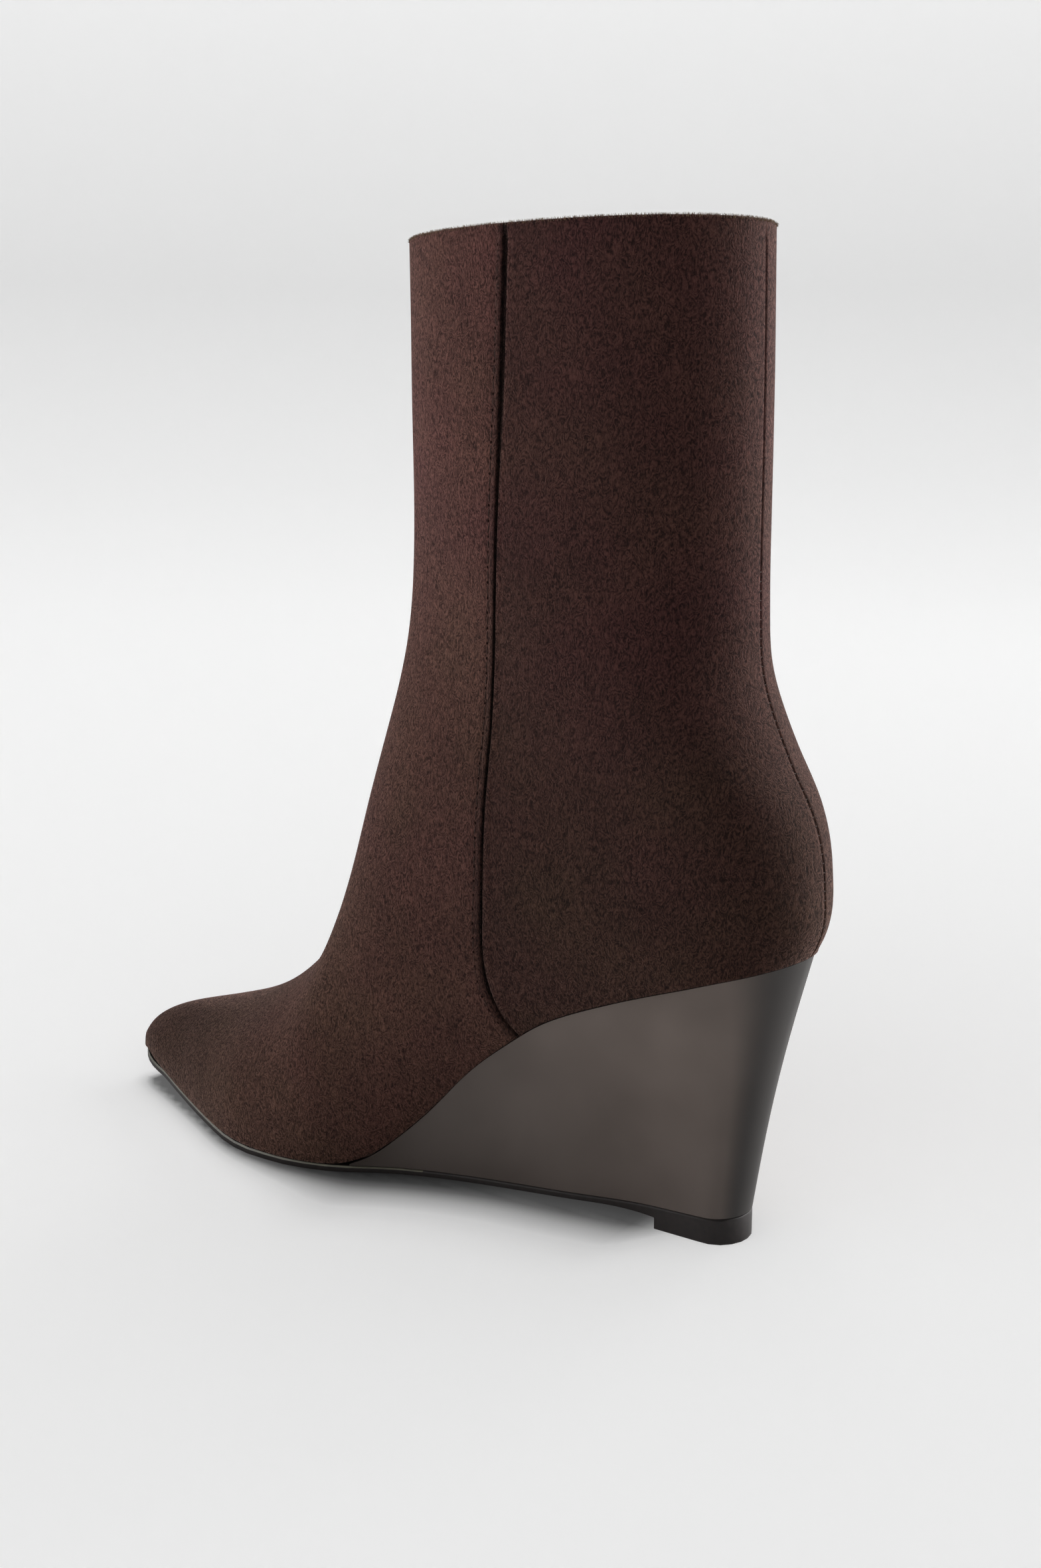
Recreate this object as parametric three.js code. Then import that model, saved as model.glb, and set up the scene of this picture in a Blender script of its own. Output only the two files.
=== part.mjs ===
// A pull-on ankle boot with a pointed toe on a high wrapped wedge, for the right foot.
// Millimetres, +Z up, toe towards +Y, +X to the wearer's right. The outsole stands on z = 0.
// A share is a fraction of the named size that it stands beside.

import * as THREE from "three";

// Foot and last
const LAST_LENGTH = 249; // heel seat to toe tip, seen from above
const BALL_WIDTH = 76;
const SEAT_WIDTH = 50;
const SEAT_ROUND = 27; // length of the rounded back of the heel seat
const TOE_ROUND = 10; // length of the rounded end of the toe
const TOE_SWING = 5.6; // toe tip's shift towards the big toe
const HEEL_HEIGHT = 85.2; // top of the wedge above the floor, at the back
const TOE_SPRING = 8;

// Upper
const WALL = 1.8;
const TOPLINE_HEIGHT = 277;
const THROAT_HEIGHT = 170; // where the vamp turns into the straight shaft
const TOE_HEIGHT = 23; // top of the toe above the floor
const SHAFT_LENGTH = 110.7; // back to front
const SHAFT_WIDTH = 65.4;
const SHAFT_SET = 18; // the shaft's back stands this far ahead of the heel seat
const ANKLE_WIDTH = 60;
const SEAM_DEPTH = 0.8;
const SEAM_WIDTH = 1.9;
const BACK_SEAM_DEPTH = 0.5;
const BACK_SEAM_WIDTH = 1.2;
const ROLLED_TOPLINE = 3; // the side seams stop this far under the topline

// Wedge, outsole and insole
const SOLE_THICKNESS = 2;
const WAIST_THICKNESS = 1.85;
const WAIST_WIDTH = 39; // outsole's narrowest part under the arch
const BREAST_HEIGHT = 7.8; // top of the outsole over the heel lift
const LIFT_STEP = 3.4; // the heel lift stands down from the outsole by this much
const LIFT_LENGTH = 25;
const LIFT_WIDTH = 20;
const LIFT_SET = 16.5; // the lift's back lies this far ahead of the heel seat
const LIFT_ROUND = 9;
const WEDGE_EDGE = 0.5; // the wedge is pared down to this at its front
const WEDGE_INSET = 0.7; // the upper overhangs the wedge by this much
const INSOLE_THICKNESS = 1.6;
const FIT_GAP = 0.3; // between pieces that touch

// Mesh density
const BACK_RIBS = 17;
const FRONT_RIBS = 21;
const RINGS = 30;
const SOLE_STATIONS = 44;
const RING_CROWDING = 1.35; // rings stand closer at the last's edge
const WEDGE_LEVELS = 9;
const WEDGE_STATIONS = 40;
const LIFT_STATIONS = 8;

// A smooth line through the rows [place, value], which never overshoots between them.
function smoothLine(rows) {
  const x = rows.map((row) => row[0]);
  const y = rows.map((row) => row[1]);
  const last = x.length - 1;
  const slope = x.slice(1).map((next, i) => (y[i + 1] - y[i]) / (next - x[i]));
  const tangent = x.map((_, i) => {
    if (i === 0) return slope[0];
    if (i === last) return slope[last - 1];
    if (slope[i - 1] * slope[i] <= 0) return 0;
    const before = x[i] - x[i - 1];
    const after = x[i + 1] - x[i];
    const weight = 3 * (before + after);
    return weight / ((2 * after + before) / slope[i - 1] + (after + 2 * before) / slope[i]);
  });
  return (place) => {
    if (place <= x[0]) return y[0];
    if (place >= x[last]) return y[last];
    let i = 0;
    while (place > x[i + 1]) i += 1;
    const width = x[i + 1] - x[i];
    const t = (place - x[i]) / width;
    const rise = (1 + 2 * t) * (1 - t) ** 2 * y[i] + (3 - 2 * t) * t ** 2 * y[i + 1];
    return rise + width * (t * (1 - t) ** 2 * tangent[i] - t ** 2 * (1 - t) * tangent[i + 1]);
  };
}

// One smooth line for each column of a table of sections, along its first column.
function tableLines(table) {
  const names = Object.keys(table[0]);
  const place = names[0];
  const lines = names.slice(1).map((name) => [
    name,
    smoothLine(table.map((row) => [row[place], row[name]])),
  ]);
  return Object.fromEntries(lines);
}

// The root of a falling or rising function between two places.
function root(value, from, to) {
  const sign = Math.sign(value(from));
  let low = from;
  let high = to;
  for (let step = 0; step < 48; step += 1) {
    const middle = (low + high) / 2;
    if (Math.sign(value(middle)) === sign) low = middle;
    else high = middle;
  }
  return (low + high) / 2;
}

// A quarter ellipse: 0 at the end of a rounded stretch, 1 from its length on.
const rounded = (distance, length) =>
  Math.sqrt(Math.max(0, 1 - (1 - Math.min(1, distance / length)) ** 2));

// Bottom of the last: half-widths of its edge along the foot, as shares of length and width
const FEATHER = tableLines([
  { along: 0.0, inner: 0.5 * SEAT_WIDTH, outer: 0.5 * SEAT_WIDTH },
  { along: 0.12, inner: 0.5 * SEAT_WIDTH, outer: 0.51 * SEAT_WIDTH },
  { along: 0.25, inner: 0.478 * SEAT_WIDTH, outer: 0.51 * SEAT_WIDTH },
  { along: 0.36, inner: 0.3 * BALL_WIDTH, outer: 0.34 * BALL_WIDTH },
  { along: 0.44, inner: 0.305 * BALL_WIDTH, outer: 0.375 * BALL_WIDTH },
  { along: 0.51, inner: 0.355 * BALL_WIDTH, outer: 0.44 * BALL_WIDTH },
  { along: 0.56, inner: 0.415 * BALL_WIDTH, outer: 0.482 * BALL_WIDTH },
  { along: 0.61, inner: 0.464 * BALL_WIDTH, outer: 0.502 * BALL_WIDTH },
  { along: 0.66, inner: 0.49 * BALL_WIDTH, outer: 0.507 * BALL_WIDTH },
  { along: 0.7, inner: 0.489 * BALL_WIDTH, outer: 0.493 * BALL_WIDTH },
  { along: 0.75, inner: 0.447 * BALL_WIDTH, outer: 0.453 * BALL_WIDTH },
  { along: 0.8, inner: 0.371 * BALL_WIDTH, outer: 0.39 * BALL_WIDTH },
  { along: 0.9, inner: 0.206 * BALL_WIDTH, outer: 0.237 * BALL_WIDTH },
  { along: 0.95, inner: 0.122 * BALL_WIDTH, outer: 0.14 * BALL_WIDTH },
  { along: 1.0, inner: 0.048 * BALL_WIDTH, outer: 0.055 * BALL_WIDTH },
]);

// Outsole: half-widths where it is narrower than the last, under the wedge
const SHANK = tableLines([
  { along: LIFT_SET / LAST_LENGTH, inner: 0.5 * LIFT_WIDTH, outer: 0.5 * LIFT_WIDTH },
  { along: (LIFT_SET + LIFT_LENGTH) / LAST_LENGTH, inner: 0.5 * LIFT_WIDTH, outer: 0.5 * LIFT_WIDTH },
  { along: 0.28, inner: 0.36 * WAIST_WIDTH, outer: 0.37 * WAIST_WIDTH },
  { along: 0.42, inner: 0.5 * WAIST_WIDTH, outer: 0.53 * WAIST_WIDTH },
  { along: 0.5, inner: 0.325 * BALL_WIDTH, outer: 0.37 * BALL_WIDTH },
  { along: 0.56, inner: 0.415 * BALL_WIDTH, outer: 0.482 * BALL_WIDTH },
]);

// Thickness of the wedge along the foot, as a share of its full height
const WEDGE_FRONT = 0.562;
const WEDGE_SHARE = smoothLine([
  [0, 1],
  [0.09, 0.923],
  [0.2, 0.81],
  [0.29, 0.69],
  [0.33, 0.605],
  [0.39, 0.46],
  [0.45, 0.262],
  [0.5, 0.115],
  [0.53, 0.041],
  [WEDGE_FRONT, 0],
]);

const SHANK_END = 0.6; // share of the length where the outsole leaves the floor
const SPRING_START = 0.7; // share of the length where the toe starts to rise
const SWING_SHAPE = 1.3;
const SPRING_SHAPE = 2;
const SWELL_LENGTH = 0.08; // share of the length over which the outsole thickens to the lift

const toeShare = (y) => Math.max(0, (y / LAST_LENGTH - SPRING_START) / (1 - SPRING_START));
const centre = (y) => -TOE_SWING * toeShare(y) ** SWING_SHAPE;

function outsoleTop(y) {
  const back = LIFT_SET / LAST_LENGTH;
  const share = Math.min(1, Math.max(0, (SHANK_END - y / LAST_LENGTH) / (SHANK_END - back)));
  const spring = TOE_SPRING * Math.min(1, toeShare(y)) ** SPRING_SHAPE;
  return SOLE_THICKNESS + spring + (BREAST_HEIGHT - SOLE_THICKNESS) * share;
}

const wedgeThickness = (y) => (HEEL_HEIGHT - BREAST_HEIGHT) * WEDGE_SHARE(y / LAST_LENGTH);
const lastBottom = (y) => outsoleTop(y) + wedgeThickness(y);

// Vertical height of a layer that is so thick square to the bottom of the last.
function layer(y, thickness) {
  const step = 0.5;
  const slope = (lastBottom(y + step) - lastBottom(y - step)) / (2 * step);
  return thickness * Math.hypot(1, slope);
}

const upperEdge = (y) => lastBottom(y) + layer(y, FIT_GAP);

// Half-width of the last's edge on one side, rounded at heel and toe.
function feather(side, y) {
  const body = FEATHER[side](y / LAST_LENGTH);
  return body * rounded(y, SEAT_ROUND) * rounded(LAST_LENGTH - y, TOE_ROUND);
}

// The same edge moved inwards, square to itself.
function insetFeather(side, y, inset) {
  const step = 0.4;
  const from = Math.max(0.01, y - step);
  const to = Math.min(LAST_LENGTH - 0.01, y + step);
  const slope = (feather(side, to) - feather(side, from)) / (to - from);
  return Math.min(
    feather(side, y) - inset * Math.hypot(1, slope),
    feather(side, Math.max(0, y - inset)),
    feather(side, Math.min(LAST_LENGTH, y + inset)),
  );
}

// Side view of the upper: the ridge over toe, vamp and shaft front, and the curve of the heel.
const SHAFT_FRONT = SHAFT_SET + SHAFT_LENGTH;
const TOE_TIP = upperEdge(LAST_LENGTH);
const vampPoint = (forward, up) =>
  new THREE.Vector3(
    0,
    SHAFT_FRONT + (LAST_LENGTH - SHAFT_FRONT) * forward,
    TOE_HEIGHT + (THROAT_HEIGHT - TOE_HEIGHT) * up,
  );
const toePoint = (forward, up) =>
  new THREE.Vector3(0, LAST_LENGTH * forward, TOE_TIP + (TOE_HEIGHT - TOE_TIP) * up);
const shaftPoint = (forward, up) =>
  new THREE.Vector3(
    0,
    SHAFT_FRONT + SHAFT_LENGTH * forward,
    THROAT_HEIGHT + (TOPLINE_HEIGHT - THROAT_HEIGHT) * up,
  );

const RIDGE = new THREE.CatmullRomCurve3([
  toePoint(1.0, 0),
  toePoint(1.001, 0.22),
  toePoint(1.004, 0.52),
  toePoint(1.002, 0.8),
  toePoint(0.991, 1.02),
  vampPoint(0.93, 0.03),
  vampPoint(0.86, 0.054),
  vampPoint(0.71, 0.088),
  vampPoint(0.56, 0.126),
  vampPoint(0.465, 0.163),
  vampPoint(0.372, 0.217),
  vampPoint(0.272, 0.293),
  vampPoint(0.222, 0.36),
  vampPoint(0.195, 0.437),
  vampPoint(0.164, 0.543),
  vampPoint(0.133, 0.665),
  vampPoint(0.091, 0.78),
  vampPoint(0.052, 0.89),
  vampPoint(0.028, 1),
  shaftPoint(0.02, 0.15),
  shaftPoint(0.008, 0.4),
  shaftPoint(0, 0.7),
  shaftPoint(0, 1),
]);

const SEAT_TOP = upperEdge(0);
const heelPoint = (set, up) =>
  new THREE.Vector3(0, SHAFT_SET * set, SEAT_TOP + (TOPLINE_HEIGHT - SEAT_TOP) * up);
const HEEL = new THREE.CatmullRomCurve3([
  heelPoint(0, 0),
  heelPoint(-0.12, 0.02),
  heelPoint(-0.22, 0.06),
  heelPoint(-0.2, 0.1),
  heelPoint(-0.15, 0.15),
  heelPoint(0.02, 0.205),
  heelPoint(0.32, 0.256),
  heelPoint(0.57, 0.306),
  heelPoint(0.8, 0.358),
  heelPoint(0.94, 0.41),
  heelPoint(0.965, 0.462),
  heelPoint(0.985, 0.52),
  heelPoint(0.99, 0.64),
  heelPoint(1.0, 0.8),
  heelPoint(1.04, 1),
]);

// Cross sections of the upper, from toe to topline. Each runs from a share of the ridge's length
// down to a share of the lower line, which follows the last's edge from toe to seat up to 1 and
// the heel's curve to the topline up to 2. Half-widths from the centre line are shares of the named
// width. The section is widest at a share of its own depth. Crown and back are powers: the crown is
// rounder and the back blunter where they are higher than the 2 of an ellipse.
const SECTION_ROWS = [
  { ridge: 0, low: 0, width: BALL_WIDTH, inner: 0, outer: 0, widest: 0.5 },
  { ridge: 0.022, low: 0.004, width: BALL_WIDTH, inner: 0.056, outer: 0.061, widest: 0.55 },
  { ridge: 0.045, low: 0.014, width: BALL_WIDTH, inner: 0.094, outer: 0.102, widest: 0.62 },
  { ridge: 0.07, low: 0.034, width: BALL_WIDTH, inner: 0.144, outer: 0.16, widest: 0.66 },
  { ridge: 0.125, low: 0.1, width: BALL_WIDTH, inner: 0.24, outer: 0.268, widest: 0.7 },
  { ridge: 0.19, low: 0.168, width: BALL_WIDTH, inner: 0.374, outer: 0.396, widest: 0.73, crown: 1.9 },
  { ridge: 0.274, low: 0.258, width: BALL_WIDTH, inner: 0.492, outer: 0.506, widest: 0.72, crown: 1.75 },
  { ridge: 0.37, low: 0.342, width: BALL_WIDTH, inner: 0.5, outer: 0.53, widest: 0.68, crown: 1.68 },
  { ridge: 0.459, low: 0.46, width: BALL_WIDTH, inner: 0.445, outer: 0.48, widest: 0.62, crown: 1.7 },
  {
    ridge: 0.53, low: 0.603, width: BALL_WIDTH, inner: 0.415, outer: 0.43,
    widest: 0.58, crown: 1.8, back: 2.1,
  },
  {
    ridge: 0.598, low: 0.745, width: ANKLE_WIDTH, inner: 0.5, outer: 0.5,
    widest: 0.55, crown: 1.95, back: 2.3,
  },
  { ridge: 0.655, low: 0.915, width: ANKLE_WIDTH, inner: 0.5, outer: 0.5, widest: 0.58, back: 2.6 },
  { ridge: 0.683, low: 1, width: ANKLE_WIDTH, inner: 0.5, outer: 0.5, widest: 0.6, back: 2.8 },
  { ridge: 0.73, low: 1.1, width: ANKLE_WIDTH, inner: 0.5, outer: 0.5, widest: 0.6, back: 2.8 },
  { ridge: 0.775, low: 1.21, width: ANKLE_WIDTH, inner: 0.5, outer: 0.5, widest: 0.56, back: 2.7 },
  { ridge: 0.825, low: 1.36, width: ANKLE_WIDTH, inner: 0.505, outer: 0.505, widest: 0.52, back: 2.6 },
  { ridge: 0.88, low: 1.55, width: SHAFT_WIDTH, inner: 0.485, outer: 0.485, widest: 0.5, back: 2.5 },
  { ridge: 1, low: 2, width: SHAFT_WIDTH, inner: 0.5, outer: 0.5, widest: 0.5, back: 2.4 },
];
const SECTIONS = tableLines(
  SECTION_ROWS.map(({ width, inner, outer, crown = 2, back = 2, ...row }, at) => ({
    at,
    ...row,
    crown,
    back,
    inner: inner * width,
    outer: outer * width,
  })),
);
const LAST_SECTION = SECTION_ROWS.length - 1;

// The last's edge in side view, from the toe tip back to the heel seat.
const EDGE_STEPS = 60;
const EDGE = new THREE.CatmullRomCurve3(
  Array.from({ length: EDGE_STEPS + 1 }, (_, i) => {
    const y = LAST_LENGTH * (1 - i / EDGE_STEPS);
    return new THREE.Vector3(0, y, upperEdge(y));
  }),
);
const lowerPoint = (share) => (share <= 1 ? EDGE.getPointAt(share) : HEEL.getPointAt(share - 1));

// Which section a point of the side view lies on, and how far down it.
function locate(y, z) {
  const side = (at) => {
    const top = RIDGE.getPointAt(SECTIONS.ridge(at));
    const low = lowerPoint(SECTIONS.low(at));
    return (low.y - top.y) * (z - top.z) - (low.z - top.z) * (y - top.y);
  };
  const at = root(side, 0.02, LAST_SECTION);
  const top = RIDGE.getPointAt(SECTIONS.ridge(at));
  const low = lowerPoint(SECTIONS.low(at));
  const depth = Math.hypot(y - top.y, z - top.z) / top.distanceTo(low);
  return { at, low, depth: Math.min(1, depth) };
}

// Half-width of the upper's outside at a point of the side view.
function upperHalf(side, { at, low, depth }) {
  const half = SECTIONS[side](at);
  const widest = SECTIONS.widest(at);
  if (depth < widest) {
    return half * (1 - (1 - depth / widest) ** 2) ** (1 / SECTIONS.crown(at));
  }
  const back = SECTIONS.back(at);
  const end = SECTIONS.low(at) < 1 ? Math.min(0.999, feather(side, low.y) / half) : 0;
  const reach = (1 - end ** 2) ** (1 / back);
  const below = (depth - widest) / (1 - widest);
  return half * Math.sqrt(Math.max(0, 1 - (reach * below) ** back));
}

// Path of the side seams in side view, from the last's edge up to the topline.
const SEAM_FOOT = 0.322 * LAST_LENGTH;
const seamFoot = (along, up) => new THREE.Vector3(0, LAST_LENGTH * along, HEEL_HEIGHT * up);
const seamShaft = (forward, height) =>
  new THREE.Vector3(0, SHAFT_SET + SHAFT_LENGTH * forward, height);
const ANKLE_RISE = THROAT_HEIGHT - HEEL_HEIGHT;
const SHAFT_RISE = TOPLINE_HEIGHT - THROAT_HEIGHT;
const SIDE_SEAM = new THREE.CatmullRomCurve3([
  new THREE.Vector3(0, SEAM_FOOT, upperEdge(SEAM_FOOT)),
  seamFoot(0.338, 0.69),
  seamFoot(0.3515, 0.793),
  seamFoot(0.357, 0.92),
  seamFoot(0.3546, 1.066),
  seamShaft(0.627, HEEL_HEIGHT + 0.44 * ANKLE_RISE),
  seamShaft(0.607, THROAT_HEIGHT),
  seamShaft(0.565, THROAT_HEIGHT + 0.49 * SHAFT_RISE),
  seamShaft(0.541, TOPLINE_HEIGHT),
]);

// Side view of the upper as two nets, which meet at the side seam. In each one a share runs from
// the back line to the front line, and up runs from the last's edge (0) to the topline (1).
function netPoint(back, front, edgeY, share, up) {
  const low = back.getPoint(0).lerp(front.getPoint(0), share);
  const point = back.getPointAt(up).lerp(front.getPointAt(up), share);
  const edge = new THREE.Vector3(0, edgeY, upperEdge(edgeY));
  return point.add(edge.sub(low).multiplyScalar(1 - up));
}
const backNet = (share, up) => netPoint(HEEL, SIDE_SEAM, SEAM_FOOT * share, share, up);

const EDGE_SPREAD = 0.7; // the front net's ribs stand closer at the side seam than at the toe
function frontNet(share, up) {
  const spread = EDGE_SPREAD * share + (1 - EDGE_SPREAD) * share ** 2;
  const edgeY = SEAM_FOOT + (LAST_LENGTH - SEAM_FOOT) * spread;
  return netPoint(SIDE_SEAM, RIDGE, edgeY, share, up);
}

// Shares from 0 to 1 that crowd together near 0.
const CROWD = 0.45;
function crowded(place) {
  const scale = 1 / (1 - CROWD / 2);
  if (place < CROWD) return (scale * place ** 2) / (2 * CROWD);
  return scale * (place - CROWD / 2);
}

// A point of the upper's outside, from its place in side view.
function upperPoint(side, { y, z }, up) {
  const sign = side === "inner" ? -1 : 1;
  const half = up <= 0 ? feather(side, y) : upperHalf(side, locate(y, z));
  return new THREE.Vector3(centre(y) + sign * half, y, z);
}

// Ribs of one side from heel to ridge. The side seam is a lap: the back panel runs down into a
// channel, and the front panel's edge stands over it.
const LAP = [
  { behind: 1, drop: 0 },
  { behind: 0.75, drop: 1 },
  { behind: 0.15, drop: 1 },
  { behind: 0, drop: 0 },
];
function sideRibs(side, up) {
  const ribs = [];
  const add = (place, drop) => ribs.push({ point: upperPoint(side, place, up), drop });
  for (let rib = 1; rib < BACK_RIBS; rib += 1) add(backNet(crowded(rib / BACK_RIBS), up), 0);
  const step = 0.01;
  const lip = upperPoint(side, backNet(1, up), up);
  const perLength = step / lip.distanceTo(upperPoint(side, backNet(1 - step, up), up));
  for (const { behind, drop } of LAP) {
    add(backNet(1 - behind * SEAM_WIDTH * perLength, up), drop * SEAM_DEPTH);
  }
  for (let rib = 1; rib < FRONT_RIBS; rib += 1) {
    add(frontNet(1 - crowded(1 - rib / FRONT_RIBS), up), 0);
  }
  return ribs;
}

// One ring of the upper, from the back seam round the inner side, the ridge and the outer side.
function upperRing(up) {
  const heel = HEEL.getPointAt(up);
  const ridge = RIDGE.getPointAt(up);
  ridge.x = centre(ridge.y);
  const lip = new THREE.Vector3(BACK_SEAM_WIDTH / 2, 0, 0);
  return [
    { point: heel, drop: BACK_SEAM_DEPTH },
    { point: heel.clone().sub(lip), drop: 0 },
    ...sideRibs("inner", up),
    { point: ridge, drop: 0 },
    ...sideRibs("outer", up).reverse(),
    { point: heel.clone().add(lip), drop: 0 },
  ];
}

// Collects quads and gives back one closed geometry without doubled points or empty triangles.
class Skin {
  constructor() {
    this.points = [];
    this.index = new Map();
    this.triangles = [];
  }

  add(point) {
    const key = point.toArray().map((value) => Math.round(value * 1000)).join();
    if (!this.index.has(key)) {
      this.index.set(key, this.points.length);
      this.points.push(point);
    }
    return this.index.get(key);
  }

  triangle(a, b, c) {
    if (a !== b && b !== c && c !== a) this.triangles.push(a, b, c);
  }

  quad(...corners) {
    const [a, b, c, d] = corners.map((corner) => this.add(corner));
    this.triangle(a, b, c);
    this.triangle(a, c, d);
  }

  geometry() {
    const geometry = new THREE.BufferGeometry();
    geometry.setAttribute(
      "position",
      new THREE.Float32BufferAttribute(this.points.flatMap((point) => point.toArray()), 3),
    );
    geometry.setIndex(this.triangles);
    geometry.computeVertexNormals();
    return geometry;
  }
}

// Outward directions of a net of rings, from the points around each one.
function netNormals(rings) {
  return rings.map((ring, i) =>
    ring.map((_, j) => {
      const count = ring.length;
      const reach = j < 2 || j > count - 2 ? 2 : 1;
      const above = rings[Math.min(rings.length - 1, i + 1)][j].point;
      const below = rings[Math.max(0, i - 1)][j].point;
      const next = ring[(j + reach) % count].point;
      const previous = ring[(j - reach + count) % count].point;
      const rise = above.clone().sub(below);
      return rise.cross(next.clone().sub(previous)).normalize();
    }),
  );
}

// The upper: outside and inside nets joined at the topline and along the last's edge.
function makeUpper() {
  const rolled = 1 - ROLLED_TOPLINE / HEEL.getLength();
  const ups = Array.from({ length: RINGS }, (_, i) => (i / RINGS) ** RING_CROWDING);
  ups.push(rolled, 1);
  const rings = ups.map(upperRing);
  const normals = netNormals(rings);
  const flat = (normal) => new THREE.Vector3(normal.x, normal.y, 0).normalize();
  const outside = rings.map((ring, i) =>
    ring.map(({ point, drop }, j) => {
      const depth = ups[i] > rolled ? 0 : drop;
      const direction = i === 0 ? flat(normals[i][j]) : normals[i][j];
      const moved = point.clone().addScaledVector(direction, -depth);
      if (i === 0) moved.z = upperEdge(moved.y);
      return moved;
    }),
  );
  const inside = [];
  rings.forEach((ring, i) => {
    const end = i === 0 || i === rings.length - 1;
    if (i % 2 && !end) return;
    inside.push(
      ring.map(({ point }, j) => {
        const direction = end ? flat(normals[i][j]) : normals[i][j];
        const moved = point.clone().addScaledVector(direction, -WALL);
        if (i === 0) moved.z = upperEdge(moved.y);
        return moved;
      }),
    );
  });
  const skin = new Skin();
  const wrap = (low, high, turned) =>
    low.forEach((_, j) => {
      const next = (j + 1) % low.length;
      if (turned) skin.quad(low[j], low[next], high[next], high[j]);
      else skin.quad(low[j], high[j], high[next], low[next]);
    });
  for (let i = 0; i < outside.length - 1; i += 1) wrap(outside[i], outside[i + 1], false);
  for (let i = 0; i < inside.length - 1; i += 1) wrap(inside[i], inside[i + 1], true);
  wrap(outside[outside.length - 1], inside[inside.length - 1], false);
  wrap(outside[0], inside[0], true);
  return skin.geometry();
}

// A solid between an upper and a lower outline, and any outlines between them. Each outline is a
// row of stations from back to front with its half-widths and height.
function makeSlab(levels) {
  const skin = new Skin();
  const inner = ({ y, innerHalf, z }) => new THREE.Vector3(centre(y) - innerHalf, y, z);
  const outer = ({ y, outerHalf, z }) => new THREE.Vector3(centre(y) + outerHalf, y, z);
  const top = levels[0];
  const bottom = levels[levels.length - 1];
  const last = top.length - 1;
  for (let i = 0; i < last; i += 1) {
    skin.quad(inner(top[i]), outer(top[i]), outer(top[i + 1]), inner(top[i + 1]));
    skin.quad(inner(bottom[i]), inner(bottom[i + 1]), outer(bottom[i + 1]), outer(bottom[i]));
  }
  for (let k = 0; k < levels.length - 1; k += 1) {
    const high = levels[k];
    const low = levels[k + 1];
    for (let i = 0; i < last; i += 1) {
      skin.quad(inner(high[i]), inner(high[i + 1]), inner(low[i + 1]), inner(low[i]));
      skin.quad(outer(high[i]), outer(low[i]), outer(low[i + 1]), outer(high[i + 1]));
    }
    skin.quad(inner(high[0]), inner(low[0]), outer(low[0]), outer(high[0]));
    skin.quad(inner(high[last]), outer(high[last]), outer(low[last]), inner(low[last]));
  }
  return skin.geometry();
}

// Shares from 0 to 1, close together near 0 and, for a rounded front, near 1 as well.
const closeAtBack = (count) =>
  Array.from({ length: count + 1 }, (_, i) => 1 - Math.cos((Math.PI * i) / count / 2));
const closeAtEnds = (count) =>
  Array.from({ length: count + 1 }, (_, i) => (1 - Math.cos((Math.PI * i) / count)) / 2);

// Outline of the outsole on one side: the last's edge at the forefoot, the shank behind it.
function outsoleHalf(side, y) {
  const share = y / LAST_LENGTH;
  if (share >= WEDGE_FRONT) return feather(side, y);
  return SHANK[side](share) * rounded(y - LIFT_SET, LIFT_ROUND);
}

// The wedge: its top is the bottom of the last, and its foot is the outline of the outsole.
const WEDGE_WAIST = 0.09; // how far the sides curve in between top and bottom
function makeWedge() {
  const pared = (y) => wedgeThickness(y) - layer(y, FIT_GAP) - WEDGE_EDGE;
  const front = root(pared, 0.4 * LAST_LENGTH, WEDGE_FRONT * LAST_LENGTH);
  const stations = closeAtBack(WEDGE_STATIONS);
  const levels = [];
  for (let k = 0; k <= WEDGE_LEVELS; k += 1) {
    const down = k / WEDGE_LEVELS;
    const drawn = down + WEDGE_WAIST * Math.sin(Math.PI * down);
    levels.push(
      stations.map((share) => {
        const topY = WEDGE_INSET + (front - WEDGE_INSET) * share;
        const lowY = LIFT_SET + (front - LIFT_SET) * share;
        const mix = (a, b, amount) => a + (b - a) * amount;
        const half = (side) => {
          const inset = WEDGE_INSET * (1 - share);
          const high = Math.max(0, feather(side, topY - WEDGE_INSET * (1 - share)) - inset);
          return mix(high, outsoleHalf(side, lowY), drawn);
        };
        return {
          y: mix(topY, lowY, drawn),
          innerHalf: half("inner"),
          outerHalf: half("outer"),
          z: mix(lastBottom(topY), outsoleTop(lowY) + FIT_GAP, down),
        };
      }),
    );
  }
  return makeSlab(levels);
}

// The outsole: a thin forefoot, a thin arched shank and the heel lift, which stands on the floor.
function makeOutsole() {
  const step = LIFT_SET + LIFT_LENGTH;
  const swell = SWELL_LENGTH * LAST_LENGTH;
  const thickness = (y) => {
    if (y >= SHANK_END * LAST_LENGTH) return SOLE_THICKNESS;
    const towardsLift = Math.max(0, 1 - (y - step) / swell);
    const breast = outsoleTop(step) - LIFT_STEP;
    const waist = WAIST_THICKNESS + (breast - WAIST_THICKNESS) * towardsLift ** 2;
    const towardsBall = Math.min(1, (SHANK_END * LAST_LENGTH - y) / swell);
    return SOLE_THICKNESS + (waist - SOLE_THICKNESS) * towardsBall;
  };
  const row = (y, z) => ({
    y,
    innerHalf: outsoleHalf("inner", y),
    outerHalf: outsoleHalf("outer", y),
    z,
  });
  const top = [];
  const bottom = [];
  for (const share of closeAtBack(LIFT_STATIONS)) {
    const y = LIFT_SET + LIFT_LENGTH * share;
    top.push(row(y, outsoleTop(y)));
    bottom.push(row(y, 0));
  }
  for (const share of closeAtEnds(SOLE_STATIONS)) {
    const y = step + (LAST_LENGTH - step) * share;
    top.push(row(y, outsoleTop(y)));
    bottom.push(row(y, outsoleTop(y) - thickness(y)));
  }
  return makeSlab([top, bottom]);
}

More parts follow.
